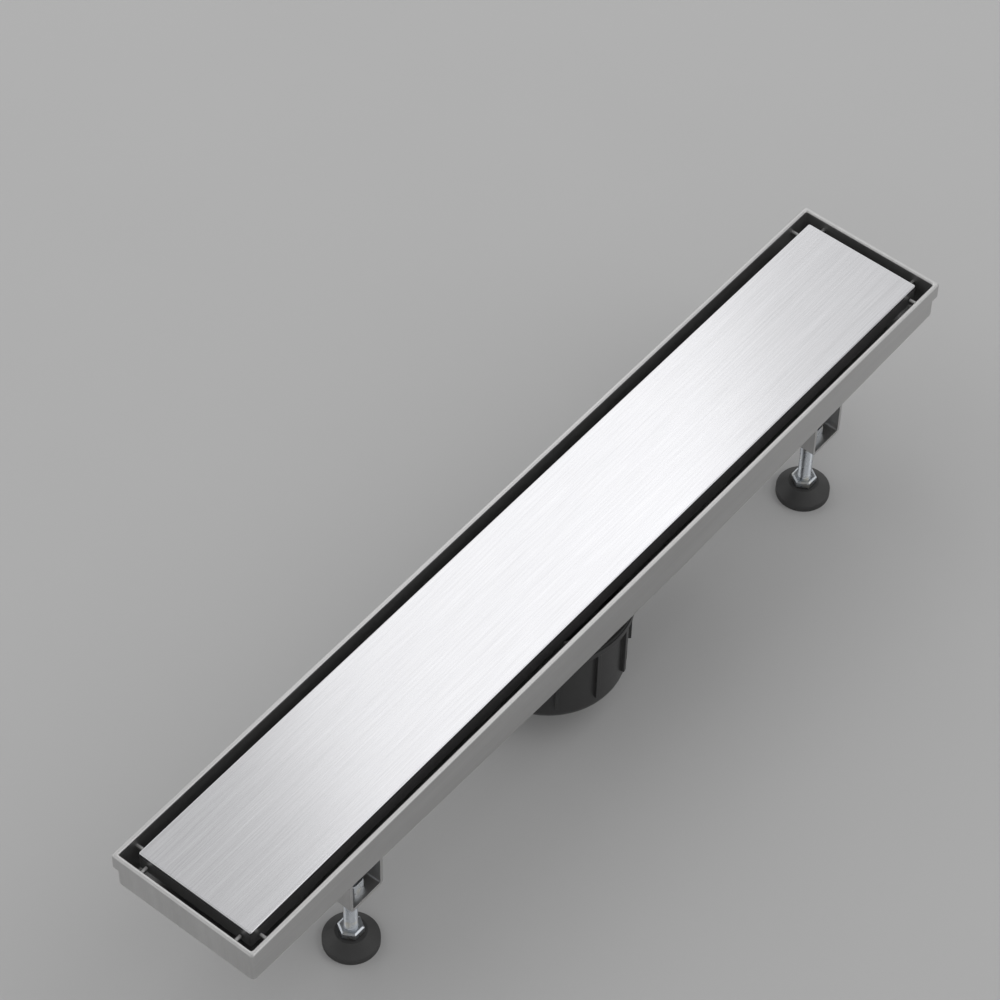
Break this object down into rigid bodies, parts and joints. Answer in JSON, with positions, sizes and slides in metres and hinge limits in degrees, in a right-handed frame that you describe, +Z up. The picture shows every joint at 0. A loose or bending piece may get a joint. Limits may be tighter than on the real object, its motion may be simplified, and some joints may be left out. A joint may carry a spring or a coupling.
{
  "type": "linear shower drain",
  "caption": "Long narrow floor drain: a hemmed sheet-steel channel with a brushed reversible tray cover, water slots all round it, a swivelling trap below and screw feet.",
  "frame": {"origin": "on the ground plane under the middle of the channel, with the feet screwed right out", "axes": "+X along the channel, towards the outlet pipe at rest; +Y across it; +Z up"},
  "size_m": [0.6, 0.097, 0.115],
  "materials": {
    "channel_steel": "satin rolled sheet",
    "cover_steel": "brushed along its length",
    "bright_steel": "turned, bright",
    "zinc_steel": "zinc plated",
    "trap_plastic": "moulded, satin",
    "insert_plastic": "moulded, satin",
    "seal_rubber": "matt",
    "pad_plastic": "moulded, matt"
  },
  "bodies": {
    "drain_body": {"channel": "channel_steel", "locating_pins": "bright_steel", "cover_tray": "cover_steel", "cover_rest_1": "channel_steel", "cover_rest_2": "channel_steel", "cover_rest_3": "channel_steel", "cover_rest_4": "channel_steel", "foot_rail_left": "channel_steel", "foot_rail_right": "channel_steel", "foot_weld_nuts": "zinc_steel", "foot_lock_nuts": "zinc_steel"},
    "trap": {"clamp_ring": "bright_steel", "pot_gasket": "seal_rubber", "siphon_pot": "trap_plastic", "dip_tube": "insert_plastic", "dip_seal": "seal_rubber", "trap_cup": "insert_plastic", "strainer": "bright_steel"},
    "foot_1": {"foot_stud_1": "zinc_steel", "foot_pad_1": "pad_plastic"},
    "foot_2": {"foot_stud_2": "zinc_steel", "foot_pad_2": "pad_plastic"},
    "foot_3": {"foot_stud_3": "zinc_steel", "foot_pad_3": "pad_plastic"},
    "foot_4": {"foot_stud_4": "zinc_steel", "foot_pad_4": "pad_plastic"}
  },
  "joints": [
    {"name": "trap_swivel", "type": "hinge", "parent": "drain_body", "child": "trap", "pos_m": [0, 0, 0.077], "axis": [0, 0, 1], "continuous": true},
    {"name": "foot_1_screw", "type": "slide", "parent": "drain_body", "child": "foot_1", "axis": [0, 0, 1], "range_m": [0, 0.018]},
    {"name": "foot_2_screw", "type": "slide", "parent": "drain_body", "child": "foot_2", "axis": [0, 0, 1], "range_m": [0, 0.018]},
    {"name": "foot_3_screw", "type": "slide", "parent": "drain_body", "child": "foot_3", "axis": [0, 0, 1], "range_m": [0, 0.018]},
    {"name": "foot_4_screw", "type": "slide", "parent": "drain_body", "child": "foot_4", "axis": [0, 0, 1], "range_m": [0, 0.018]}
  ]
}
